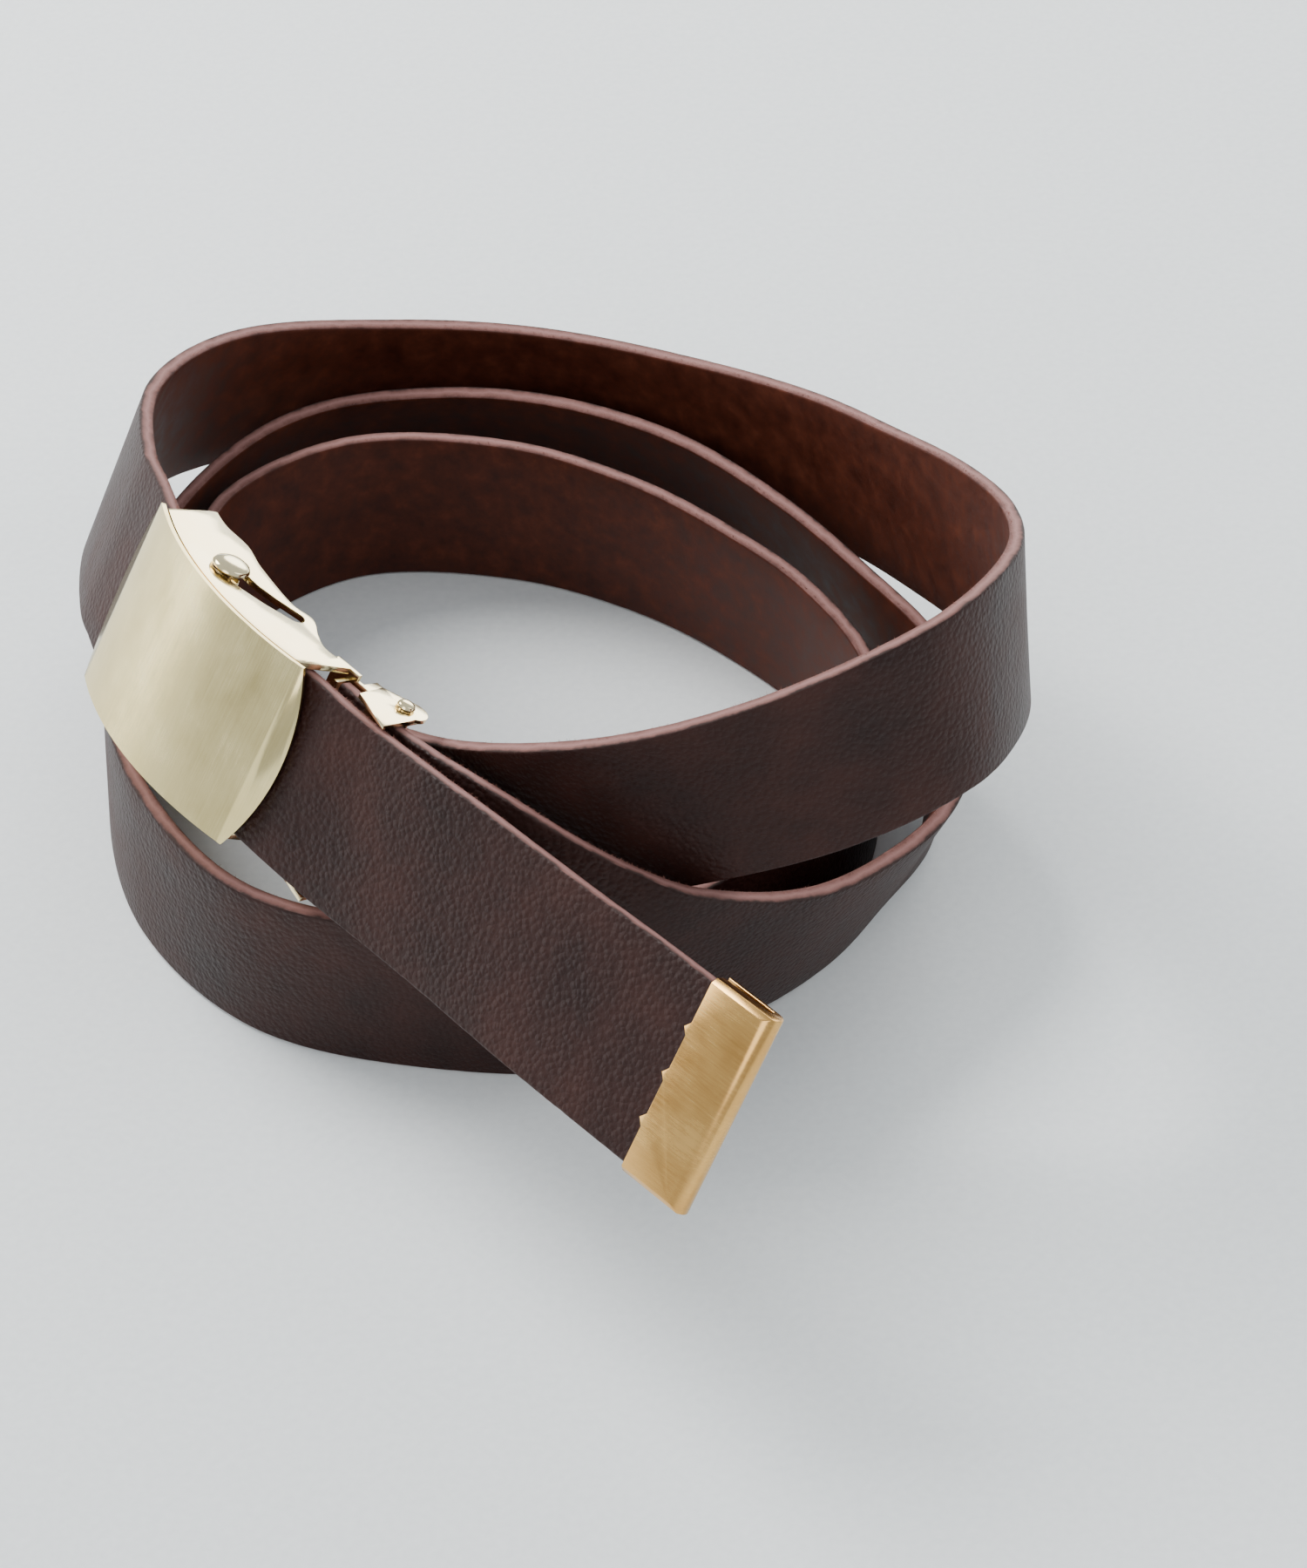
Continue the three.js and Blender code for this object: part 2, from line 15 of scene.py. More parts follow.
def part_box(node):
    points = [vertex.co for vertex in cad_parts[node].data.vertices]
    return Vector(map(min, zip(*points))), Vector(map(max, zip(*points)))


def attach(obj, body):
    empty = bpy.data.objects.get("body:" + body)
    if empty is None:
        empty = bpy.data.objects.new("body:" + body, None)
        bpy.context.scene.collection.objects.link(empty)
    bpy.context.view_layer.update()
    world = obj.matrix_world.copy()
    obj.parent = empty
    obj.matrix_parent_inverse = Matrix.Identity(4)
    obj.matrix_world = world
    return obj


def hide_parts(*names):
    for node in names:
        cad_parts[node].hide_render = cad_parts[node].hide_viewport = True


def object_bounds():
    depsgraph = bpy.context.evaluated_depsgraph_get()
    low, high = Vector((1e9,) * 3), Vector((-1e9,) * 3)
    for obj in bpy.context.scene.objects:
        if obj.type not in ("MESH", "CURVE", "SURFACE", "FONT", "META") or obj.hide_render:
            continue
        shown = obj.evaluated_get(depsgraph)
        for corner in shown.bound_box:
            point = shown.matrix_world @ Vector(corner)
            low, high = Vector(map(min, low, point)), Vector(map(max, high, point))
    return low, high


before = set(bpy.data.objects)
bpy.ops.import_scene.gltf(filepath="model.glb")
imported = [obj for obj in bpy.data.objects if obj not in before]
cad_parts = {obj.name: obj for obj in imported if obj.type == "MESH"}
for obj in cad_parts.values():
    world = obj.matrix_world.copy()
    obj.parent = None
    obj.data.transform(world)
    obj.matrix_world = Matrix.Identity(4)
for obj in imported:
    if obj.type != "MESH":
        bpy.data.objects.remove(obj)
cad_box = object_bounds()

MM = 0.001

# %% [markdown]
# ## Camera, floor and light
# A belt is a small object, so a long lens from about 70 cm keeps its proportions natural.
# The camera looks down at the coil from the front. The floor is a plain pale sheet. Large area lights act as
# soft boxes, because polished metal only looks like metal when it has something broad and bright to reflect.

# %% Camera
LENS = 105.7
LOOK_DOWN = 41.3
CAMERA_DISTANCE = 0.7303
LOOK_AT = Vector((17.6, -2.0, 21.0)) * MM

camera_data = bpy.data.cameras.new("camera")
camera_data.lens = LENS
camera_data.sensor_width = 36
camera_data.clip_start = 0.01
camera = bpy.data.objects.new("camera", camera_data)
bpy.context.collection.objects.link(camera)
down = math.radians(LOOK_DOWN)
camera.location = LOOK_AT + CAMERA_DISTANCE * Vector((0, -math.cos(down), math.sin(down)))
camera.rotation_euler = (math.pi / 2 - down, 0, 0)
bpy.context.scene.camera = camera
print("camera at", tuple(round(v, 3) for v in camera.location))


# %% Floor
def new_material(name):
    material = bpy.data.materials.new(name)
    material.use_nodes = True
    return material, material.node_tree, material.node_tree.nodes["Principled BSDF"]


FLOOR_HALF = 3.0
FLOOR_ROUGHNESS = 0.75
SPECKLES_PER_METRE = 700
FLOOR_TONES = [(0.3, (0.80, 0.835, 0.845, 1)), (0.75, (0.86, 0.895, 0.90, 1))]
floor_finish, tree, shader = new_material("pale_floor")
shader.inputs["Roughness"].default_value = FLOOR_ROUGHNESS
place = tree.nodes.new("ShaderNodeTexCoord")
speckle = tree.nodes.new("ShaderNodeTexNoise")
speckle.inputs["Scale"].default_value = SPECKLES_PER_METRE
speckle.inputs["Detail"].default_value = 6
tones = tree.nodes.new("ShaderNodeValToRGB")
for element, (position, colour) in zip(tones.color_ramp.elements, FLOOR_TONES):
    element.position = position
    element.color = colour
tree.links.new(place.outputs["Object"], speckle.inputs["Vector"])
tree.links.new(speckle.outputs["Fac"], tones.inputs["Fac"])
tree.links.new(tones.outputs["Color"], shader.inputs["Base Color"])

floor_mesh = bpy.data.meshes.new("floor")
corners = [(-1, -1), (1, -1), (1, 1), (-1, 1)]
floor_level = cad_box[0][2]
floor_points = [(x * FLOOR_HALF, y * FLOOR_HALF, floor_level) for x, y in corners]
floor_mesh.from_pydata(floor_points, [], [(0, 1, 2, 3)])
floor_mesh.materials.append(floor_finish)
floor = bpy.data.objects.new("floor", floor_mesh)
bpy.context.collection.objects.link(floor)
print("floor at height", round(floor_level, 5))


# %% Soft boxes and room light
def soft_box(name, place, aim, size, power, colour=(1, 1, 1)):
    data = bpy.data.lights.new(name, "AREA")
    data.shape = "DISK"
    data.size = size
    data.energy = power
    data.color = colour
    lamp = bpy.data.objects.new(name, data)
    bpy.context.collection.objects.link(lamp)
    lamp.location = place
    lamp.rotation_euler = (Vector(aim) - Vector(place)).to_track_quat("-Z", "Y").to_euler()
    print(name, "power", power)


BELT_MIDDLE = (0, 0, 0.03)
WARM_WHITE = (1, 0.985, 0.97)
SOFT_WHITE = (1, 0.99, 0.97)
ROOM_COLOUR = (0.86, 0.91, 0.95, 1)
ROOM_STRENGTH = 0.8
soft_box("window_light", place=(-0.65, 0.55, 0.85), aim=BELT_MIDDLE, size=0.7, power=19, colour=WARM_WHITE)
soft_box("front_fill", place=(-0.35, -0.95, 0.7), aim=BELT_MIDDLE, size=0.8, power=4.5)
soft_box("side_fill", place=(0.9, -0.1, 0.6), aim=BELT_MIDDLE, size=0.7, power=3)
soft_box("back_card", place=(0.45, 1.2, 0.32), aim=(0, 0, 0.04), size=0.9, power=11, colour=SOFT_WHITE)
soft_box("left_card", place=(-1.15, 0.3, 0.22), aim=(-0.04, 0, 0.05), size=0.45, power=3.2)
world = bpy.data.worlds.new("room")
world.use_nodes = True
world.node_tree.nodes["Background"].inputs["Color"].default_value = ROOM_COLOUR
world.node_tree.nodes["Background"].inputs["Strength"].default_value = ROOM_STRENGTH
bpy.context.scene.world = world

# %% [markdown]
# ## The strap's route
# On the real belt this is one band of leather, so its shape is fully told by a line down its middle and
# the direction of its width. The line is a spline through listed places, in groups: the free run with the
# tip, the way under the buckle, the turns of the coil, and the run into the clamp. The coil's places began
# as a fitted curve, read off at intervals and rounded, and some were then moved until no turn touched
# another. The imported model uses the same places, so the leather lies where that solid lies.

# %% Sizes of the strap and buckle
STRAP_WIDTH = 30.0
STRAP_THICKNESS = 2.5
STOREY = STRAP_WIDTH + 0.5
HALF_STRAP = STRAP_THICKNESS / 2
FACE_GAP = 0.3
PLATE_LENGTH = 43.6
PLATE_BOW = 4.7
PLATE_SHEET = 0.7
BASE_SHEET = 0.6
LIP_LENGTH = 3.4
LIP_TURN = math.radians(30)
EXIT_TURN = math.radians(13)
JAW_STACK = 1.6
strap_behind_plate = PLATE_SHEET + BASE_SHEET + 2 * FACE_GAP + HALF_STRAP
clamped_middle = HALF_STRAP + JAW_STACK + FACE_GAP + HALF_STRAP
plate_radius = (PLATE_LENGTH ** 2 / 4 + PLATE_BOW ** 2) / (2 * PLATE_BOW)
print("plate radius", round(plate_radius, 2))

# %% Places on the route
FREE_RUN = [(93.4, -7.9, 9.7, 7), (74.6, -6.1, 7.5, 7), (57.5, -4.5, 5.4, 5), (39.2, -2.6, 3.4, 2),
            (24, -1.2, 1.6, 0), (12, -0.1, 0.2, 0), (4, 0, 0, 0)]
UNDER_PLATE = [(0.92, 0.35), (0.6, 0.9), (0.28, 0.5), (-0.09, 0), (-0.46, 0.05), (-0.92, 0.2)]
PAST_LEFT_LIP = 5.6
LEFT_LIP_SLACK = 2.2
# Each place: angle, radius without the layers inside it, layers inside, height in storeys, lean.
COIL = [
    (180, 63, 2, 1.17, -25), (158, 70, 2, 0.94, -20), (136, 77, 2, 0.61, -16), (114, 77.5, 2, 0.31, -14),
    (92, 70.2, 2, 0.25, -11), (66, 60, 2, 0.36, -8), (40, 56, 2, 0.56, -5), (20, 57, 2, 0.75, -4),
    (0, 63, 2, 1.01, -2), (-16, 71, 2, 1.26, -4), (-32, 78, 2, 1.55, -8), (-46, 84, 1, 1.69, -12),
    (-60, 80.6, 0, 1.5, -6), (-76, 71.7, 0, 1.23, 3), (-96, 61, 0, 0.88, 2), (-120, 50, 0, 0.56, 0),
    (-144, 48, 0, 0.38, 0), (-168, 52, 0, 0.21, 0), (-192, 59, 0, 0.06, 1), (-214, 65, 0, 0, 1),
    (-236, 62, 0, 0, -2), (-262, 51, 0, 0, -3), (-290, 43, 0, 0, -5), (-318, 41, 0, 0, -6),
    (-344, 45, 0, 0, -5), (-370, 53, 0, 0, -2), (-395, 58, 0, 0, 0), (-420, 63, 0, 0, 1),
    (-442, 70, 0, 0, 1), (-464, 72, 0, 0, 2), (-486, 75.8, 0, 0, 2), (-508, 74, 0, 0, -2),
    (-530, 69, 1, 0, -2), (-552, 68, 1, 0, -4), (-574, 71, 1, 0, -8), (-594, 77, 1, 0, -20),
    (-612, 75, 1, 0, -25), (-630, 68.2, 1, 0, -23), (-652, 60, 1, 0, -20), (-678, 54, 1, 0, -17),
    (-702, 54, 1, 0, -10), (-722, 60, 1, 0, 0), (-738, 65, 1, 0, 14), (-752, 66, 1, 0, 24),
    (-766, 67, 1, 0, 22), (-782, 70, 1, 0.11, 17), (-798, 75.2, 1, 0.44, 7),
]
CLAMPED_RUN = [(49, 12.8, 0.2), (41, 6.2, 1.4), (32, 1.9, 2.2), (22, 0.2, 1.2), (13, 0, 0.2), (7, 0, 0),
               (0, 0, 0)]
print(len(FREE_RUN) + len(UNDER_PLATE) + 1 + len(COIL) + len(CLAMPED_RUN), "places")

# %% Frames of the buckle and its clamp
BUCKLE_LEAN = math.radians(-27.3)
BUCKLE_SLOPE = math.radians(3.7)
BUCKLE_HEADING = math.radians(-57)
BUCKLE_LEVEL = 1.28
BUCKLE_PLACE = (-53.5, -37.4)
buckle_height = BUCKLE_LEVEL * STOREY + STRAP_WIDTH / 2 * math.cos(BUCKLE_LEAN)
buckle_turn = Euler((BUCKLE_LEAN, BUCKLE_SLOPE, BUCKLE_HEADING), "XYZ").to_matrix().to_4x4()
buckle_frame = Matrix.Translation((*BUCKLE_PLACE, buckle_height)) @ buckle_turn
lip_along = PLATE_LENGTH / 2 + LIP_LENGTH * math.cos(LIP_TURN) - PLATE_SHEET * math.sin(LIP_TURN)
lip_behind = LIP_LENGTH * math.sin(LIP_TURN) + PLATE_SHEET * math.cos(LIP_TURN)
off_lip = FACE_GAP + HALF_STRAP
clamp_place = (lip_along - off_lip * math.sin(EXIT_TURN), lip_behind + off_lip * math.cos(EXIT_TURN), 0)
clamp_frame = buckle_frame @ Matrix.Translation(clamp_place) @ Matrix.Rotation(EXIT_TURN, 4, "Z")
across_buckle = (buckle_frame.to_3x3() @ Vector((0, 0, 1))).normalized()
along_buckle = (buckle_frame.to_3x3() @ Vector((1, 0, 0))).normalized()


def bowed_depth(along, offset):
    return plate_radius - PLATE_BOW - math.sqrt((plate_radius - offset) ** 2 - along ** 2)


print("buckle at (mm)", tuple(round(v, 2) for v in buckle_frame.to_translation()))


# %% The splines
def spline_point(points, share, centripetal):
    """A point on a Catmull-Rom spline; the two ends are continued in a straight line."""
    last = len(points) - 1
    index = min(int(share * last), last - 1)
    local = share * last - index
    p1 = points[index]
    p2 = points[index + 1]
    p0 = points[index - 1] if index > 0 else 2 * p1 - p2
    p3 = points[index + 2] if index + 2 <= last else 2 * p2 - p1
    if centripetal:
        step1 = max((p2 - p1).length_squared ** 0.25, 1e-4)
        step0 = (p1 - p0).length_squared ** 0.25 or step1
        step2 = (p3 - p2).length_squared ** 0.25 or step1
        slope1 = ((p1 - p0) / step0 - (p2 - p0) / (step0 + step1) + (p2 - p1) / step1) * step1
        slope2 = ((p2 - p1) / step1 - (p3 - p1) / (step1 + step2) + (p3 - p2) / step2) * step1
    else:
        slope1 = (p2 - p0) / 2
        slope2 = (p3 - p1) / 2
    cubic = 2 * (p1 - p2) + slope1 + slope2
    square = 3 * (p2 - p1) - 2 * slope1 - slope2
    return p1 + slope1 * local + square * local ** 2 + cubic * local ** 3


def spline_heading(points, share):
    before = spline_point(points, max(share - 1e-4, 0), True)
    after = spline_point(points, min(share + 1e-4, 1), True)
    return (after - before).normalized()


# %% Join the places into one route
middle = []
widths = []
for along, behind, up, twist in FREE_RUN:
    middle.append(clamp_frame @ Vector((along, behind, up)))
    widths.append(Matrix.Rotation(-math.radians(twist), 3, along_buckle) @ across_buckle)
for share, slack in UNDER_PLATE:
    along = share * PLATE_LENGTH / 2
    middle.append(buckle_frame @ Vector((along, bowed_depth(along, strap_behind_plate) + slack, 0)))
    widths.append(across_buckle)
middle.append(buckle_frame @ Vector((-lip_along - PAST_LEFT_LIP, lip_behind + off_lip + LEFT_LIP_SLACK, 0)))
widths.append(across_buckle)
for angle, bare, inside, level, lean in COIL:
    turn = math.radians(angle)
    lean = math.radians(lean)
    radius = bare + inside * STRAP_THICKNESS
    height = level * STOREY + STRAP_WIDTH / 2 * math.cos(lean) + HALF_STRAP * abs(math.sin(lean))
    middle.append(Vector((radius * math.cos(turn), radius * math.sin(turn), height)))
    widths.append(lean)
for along, behind, up in CLAMPED_RUN:
    middle.append(clamp_frame @ Vector((along, clamped_middle + behind, up)))
    widths.append(across_buckle)
for index, width in enumerate(widths):
    if isinstance(width, float):
        forward = spline_heading(middle, index / (len(middle) - 1))
        outward = Vector((0, 0, 1)).cross(forward).normalized()
        upward = forward.cross(outward)
        widths[index] = upward * math.cos(width) + outward * math.sin(width)


def strap_frame(share):
    """Middle, forward, across and outward directions of the strap at a share of its route."""
    forward = spline_heading(middle, share)
    across = spline_point(widths, share, False)
    across = (across - across.dot(forward) * forward).normalized()
    return spline_point(middle, share, True), forward, across, across.cross(forward)


print(len(middle), "places joined")

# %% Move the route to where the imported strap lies
PACKED_STEPS = 5 * (len(middle) - 1)
lowest = Vector((1e9, 1e9, 1e9))
for step in range(PACKED_STEPS + 1):
    at, _, across, out = strap_frame(step / PACKED_STEPS)
    for side in (-0.5, 0.5):
        for face in (-0.5, 0.5):
            corner = at + across * side * STRAP_WIDTH + out * face * STRAP_THICKNESS
            lowest = Vector(map(min, lowest, corner))
strap_low = Vector(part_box("leather_strap")[0])
shift = strap_low - lowest * MM
print("route moved by (mm)", tuple(round(v * 1000, 2) for v in shift))

# %% [markdown]
# ## Patterns shared by the finishes
# Leather grain, fibres, brushing and fine scratches turn up in more than one finish, so each is a small
# node group that gives out only a colour mask or a height. All of them start from metres, which keeps
# a grain pebble the same real size on every piece.


# %% A helper for shader groups
def shader_group(name, inputs, outputs):
    group = bpy.data.node_groups.new(name, "ShaderNodeTree")
    kinds = {"float": "NodeSocketFloat", "vector": "NodeSocketVector", "colour": "NodeSocketColor"}
    for title, kind in inputs:
        group.interface.new_socket(title, in_out="INPUT", socket_type=kinds[kind])
    for title, kind in outputs:
        group.interface.new_socket(title, in_out="OUTPUT", socket_type=kinds[kind])
    start = group.nodes.new("NodeGroupInput")
    end = group.nodes.new("NodeGroupOutput")
    return group, start, end


def add_noise(tree, vector, scale, detail=4, roughness=0.55):
    noise = tree.nodes.new("ShaderNodeTexNoise")
    noise.inputs["Scale"].default_value = scale
    noise.inputs["Detail"].default_value = detail
    noise.inputs["Roughness"].default_value = roughness
    tree.links.new(vector, noise.inputs["Vector"])
    return noise.outputs["Fac"]


def add_math(tree, operation, *values):
    node = tree.nodes.new("ShaderNodeMath")
    node.operation = operation
    for socket, value in zip(node.inputs, values):
        if isinstance(value, (int, float)):
            socket.default_value = value
        else:
            tree.links.new(value, socket)
    return node.outputs[0]


def add_range(tree, value, low, high, to_low=0.0, to_high=1.0):
    node = tree.nodes.new("ShaderNodeMapRange")
    tree.links.new(value, node.inputs["Value"])
    for title, amount in (("From Min", low), ("From Max", high), ("To Min", to_low), ("To Max", to_high)):
        node.inputs[title].default_value = amount
    return node.outputs["Result"]


def add_ramp(tree, value, stops):
    node = tree.nodes.new("ShaderNodeValToRGB")
    ramp = node.color_ramp
    while len(ramp.elements) < len(stops):
        ramp.elements.new(0.5)
    for element, (position, colour) in zip(ramp.elements, stops):
        element.position = position
        element.color = (*colour, 1)
    tree.links.new(value, node.inputs["Fac"])
    return node.outputs["Color"]


def add_group(tree, group, vector):
    node = tree.nodes.new("ShaderNodeGroup")
    node.node_tree = group
    tree.links.new(vector, node.inputs["Place"])
    return node


def add_bump(tree, height, strength, distance):
    node = tree.nodes.new("ShaderNodeBump")
    node.inputs["Strength"].default_value = strength
    node.inputs["Distance"].default_value = distance
    tree.links.new(height, node.inputs["Height"])
    tree.links.new(node.outputs["Normal"], tree.nodes["Principled BSDF"].inputs["Normal"])


# %% Leather grain: pebbles, fine pores and slow patches
PEBBLES_PER_METRE = 1050
PORES_PER_METRE = 3200
PATCHES_PER_METRE = 55
PORE_SHARE = 0.5
grain, start, end = shader_group(
    "leather_grain", [("Place", "vector")], [("Height", "float"), ("Patches", "float")])
pebbles = grain.nodes.new("ShaderNodeTexVoronoi")
pebbles.feature = "F1"
pebbles.inputs["Scale"].default_value = PEBBLES_PER_METRE
pebbles.inputs["Randomness"].default_value = 1
grain.links.new(start.outputs["Place"], pebbles.inputs["Vector"])
pores = add_noise(grain, start.outputs["Place"], PORES_PER_METRE, 3)
dome = add_range(grain, pebbles.outputs["Distance"], 0.05, 0.75, 1, 0)
grain.links.new(add_math(grain, "MULTIPLY_ADD", pores, PORE_SHARE, dome), end.inputs["Height"])
patches = add_noise(grain, start.outputs["Place"], PATCHES_PER_METRE, 5, 0.6)
grain.links.new(patches, end.inputs["Patches"])
print("grain pebbles about", round(1000 / PEBBLES_PER_METRE, 2), "mm")

# %% Loose fibres: two noises added, for the flesh side and the raw edges
COARSE_FIBRES_PER_METRE = 900
FINE_FIBRES_PER_METRE = 4200
TONES_PER_METRE = 240
fibres, start, end = shader_group(
    "leather_fibres", [("Place", "vector")], [("Height", "float"), ("Tone", "float")])
coarse = add_noise(fibres, start.outputs["Place"], COARSE_FIBRES_PER_METRE, 6, 0.7)
fine = add_noise(fibres, start.outputs["Place"], FINE_FIBRES_PER_METRE, 4, 0.7)
fibres.links.new(add_math(fibres, "ADD", coarse, fine), end.inputs["Height"])
fibres.links.new(add_noise(fibres, start.outputs["Place"], TONES_PER_METRE, 6, 0.65), end.inputs["Tone"])

# %% Metal hair lines and smudges
hairlines, start, end = shader_group(
    "metal_hairlines", [("Place", "vector"), ("Smudge Place", "vector")],
    [("Lines", "float"), ("Smudge", "float")])
SMUDGES_PER_METRE = 130
lines = add_noise(hairlines, start.outputs["Place"], 1.0, 5, 0.75)
hairlines.links.new(lines, end.inputs["Lines"])
smudge = add_noise(hairlines, start.outputs["Smudge Place"], SMUDGES_PER_METRE, 4, 0.5)
hairlines.links.new(smudge, end.inputs["Smudge"])
print("shared groups:", [group.name for group in (grain, fibres, hairlines)])

# %% [markdown]
# ## Leather finishes
# The strap is one layer of thick leather, so three surfaces show. Its grain side is nearly black brown
# with a fine pebble and a satin sheen. Its flesh side is smooth red brown. The cut edges are raw: pale,
# pinkish and fibrous, darker where the dye has soaked in from the grain side.


# %% Grain side
def object_place(tree):
    return tree.nodes.new("ShaderNodeTexCoord").outputs["Object"]


grain_side, tree, shader = new_material("leather_grain_side")
pattern = add_group(tree, grain, object_place(tree))
colour = add_ramp(tree, pattern.outputs["Patches"], [
    (0.3, (0.0125, 0.0034, 0.0024)), (0.52, (0.0235, 0.0066, 0.0046)), (0.75, (0.038, 0.0115, 0.0080))])
tree.links.new(colour, shader.inputs["Base Color"])
tree.links.new(add_range(tree, pattern.outputs["Patches"], 0.3, 0.7, 0.44, 0.56), shader.inputs["Roughness"])
shader.inputs["Specular IOR Level"].default_value = 0.2
add_bump(tree, pattern.outputs["Height"], strength=0.7, distance=0.00022)
print(grain_side.name, "ready")

# %% Flesh side
flesh_side, tree, shader = new_material("leather_flesh_side")
pattern = add_group(tree, fibres, object_place(tree))
colour = add_ramp(tree, pattern.outputs["Tone"], [
    (0.3, (0.036, 0.0078, 0.0038)), (0.55, (0.068, 0.0155, 0.0072)), (0.75, (0.105, 0.026, 0.012))])
tree.links.new(colour, shader.inputs["Base Color"])
tree.links.new(add_range(tree, pattern.outputs["Tone"], 0.3, 0.7, 0.46, 0.62), shader.inputs["Roughness"])
shader.inputs["Specular IOR Level"].default_value = 0.18
add_bump(tree, pattern.outputs["Height"], strength=0.16, distance=0.00008)
print(flesh_side.name, "ready")

# %% Cut edge, which reads how far through the thickness a place is
cut_edge, tree, shader = new_material("leather_cut_edge")
pattern = add_group(tree, fibres, object_place(tree))
uv = tree.nodes.new("ShaderNodeUVMap")
uv.uv_map = "strap_uv"
parts = tree.nodes.new("ShaderNodeSeparateXYZ")
tree.links.new(uv.outputs["UV"], parts.inputs["Vector"])
ragged = add_range(tree, pattern.outputs["Tone"], 0.25, 0.75, -0.16, 0.16)
through = add_math(tree, "ADD", parts.outputs["Y"], ragged)
layers = add_ramp(tree, through, [
    (0.0, (0.060, 0.018, 0.013)), (0.2, (0.17, 0.070, 0.058)), (0.5, (0.29, 0.145, 0.130)),
    (0.75, (0.18, 0.078, 0.066)), (0.92, (0.030, 0.012, 0.009))])
mottle = tree.nodes.new("ShaderNodeMix")
mottle.data_type = "RGBA"
mottle.blend_type = "MULTIPLY"
mottle.inputs["Factor"].default_value = 0.75
tree.links.new(layers, mottle.inputs["A"])
tones = add_ramp(tree, pattern.outputs["Height"], [(0.3, (0.62, 0.56, 0.54)), (0.65, (1.0, 1.0, 1.0))])
tree.links.new(tones, mottle.inputs["B"])
tree.links.new(mottle.outputs["Result"], shader.inputs["Base Color"])
shader.inputs["Roughness"].default_value = 0.82
add_bump(tree, pattern.outputs["Height"], strength=0.55, distance=0.0002)
print(cut_edge.name, "ready")

# %% [markdown]
# ## The strap
# A leather belt is cut flat and its edges are slightly rubbed down, so the sweep uses a section with
# small round corners. Each quad remembers which surface it belongs to. A very small wander of the width
# and faces keeps the edges from looking machined.

# %% The section: (out, across) in mm, going round once, with the surface that each side belongs to
CORNER = 0.5
CORNER_STEPS = 4
FACE_STEPS = 6
SKIN_INSET = 0.03
half_out = HALF_STRAP - SKIN_INSET
half_across = STRAP_WIDTH / 2 - SKIN_INSET
GRAIN, FLESH, EDGE = 0, 1, 2


def strap_section():
    corners = [(1, 1, 0), (-1, 1, 90), (-1, -1, 180), (1, -1, 270)]
    points = []
    for out_sign, across_sign, first in corners:
        for step in range(CORNER_STEPS + 1):
            turn = math.radians(first + 90 * step / CORNER_STEPS)
            points.append((out_sign * (half_out - CORNER) + CORNER * math.cos(turn),
                           across_sign * (half_across - CORNER) + CORNER * math.sin(turn)))
        if across_sign != out_sign:
            face_start = across_sign * (half_across - CORNER)
            for step in range(1, FACE_STEPS):
                points.append((out_sign * half_out, face_start * (1 - 2 * step / FACE_STEPS)))
    return points


section = strap_section()


def surface_of(first, second):
    out = (first[0] + second[0]) / 2
    across = (first[1] + second[1]) / 2
    if abs(across) > half_across - 0.45 * CORNER:
        return EDGE
    return GRAIN if out > 0 else FLESH


surfaces = [surface_of(section[i], section[(i + 1) % len(section)]) for i in range(len(section))]
print(len(section), "points round the section;", surfaces.count(EDGE), "sides are cut edge")

# %% Sweep the section along the route
STATIONS_PER_SPAN = 20
stations = STATIONS_PER_SPAN * (len(middle) - 1) + 1
RIPPLE_LENGTH = 9
RIPPLE_WIDTH = 12
RIPPLE_DEPTH = 0.035
FRAY_LENGTH = 2.5
FRAY_DEPTH = 0.006

vertices = []
lengths = [0.0]
frames = []
for index in range(stations):
    at, forward, across, out = strap_frame(index / (stations - 1))
    if frames:
        lengths.append(lengths[-1] + (at - frames[-1][0]).length)
    frames.append((at, forward, across, out))
for (at, _, across, out), length in zip(frames, lengths):
    for out_mm, across_mm in section:
        face_layer = 3.0 if out_mm > 0 else 9.0
        edge_layer = 5.0 if across_mm > 0 else 7.0
        ripple = wander.noise(Vector((length / RIPPLE_LENGTH, across_mm / RIPPLE_WIDTH, face_layer)))
        fray = wander.noise(Vector((length / FRAY_LENGTH, out_mm, edge_layer)))
        slim = 1 - RIPPLE_DEPTH * max(ripple, 0)
        narrow = 1 - FRAY_DEPTH * max(fray, 0) if abs(across_mm) > half_across - CORNER else 1
        point = at + out * out_mm * slim + across * across_mm * narrow
        vertices.append(point * MM + shift)
print("strap length", round(lengths[-1] / 1000, 3), "m,", len(vertices), "vertices")

# %% Faces, finishes and the strap's own map
ring = len(section)
faces = []
kinds = []
for index in range(stations - 1):
    for side in range(ring):
        nxt = (side + 1) % ring
        a = index * ring
        faces.append((a + side, a + nxt, a + ring + nxt, a + ring + side))
        kinds.append(surfaces[side])
faces.append(tuple(range(ring)))
faces.append(tuple(reversed(range((stations - 1) * ring, stations * ring))))
kinds += [EDGE, EDGE]
strap_mesh = bpy.data.meshes.new("strap")
strap_mesh.from_pydata([tuple(v) for v in vertices], [], faces)
for finish in (grain_side, flesh_side, cut_edge):
    strap_mesh.materials.append(finish)
strap_mesh.polygons.foreach_set("material_index", kinds)
strap_map = strap_mesh.uv_layers.new(name="strap_uv")
for loop in strap_mesh.loops:
    station, side = divmod(loop.vertex_index, ring)
    strap_map.data[loop.index].uv = (lengths[station] * MM, 0.5 + section[side][0] / STRAP_THICKNESS)


def outward(mesh):
    """Turns every face of a closed mesh to point out of it."""
    work = bmesh.new()
    work.from_mesh(mesh)
    bmesh.ops.recalc_face_normals(work, faces=work.faces)
    work.to_mesh(mesh)
    work.free()


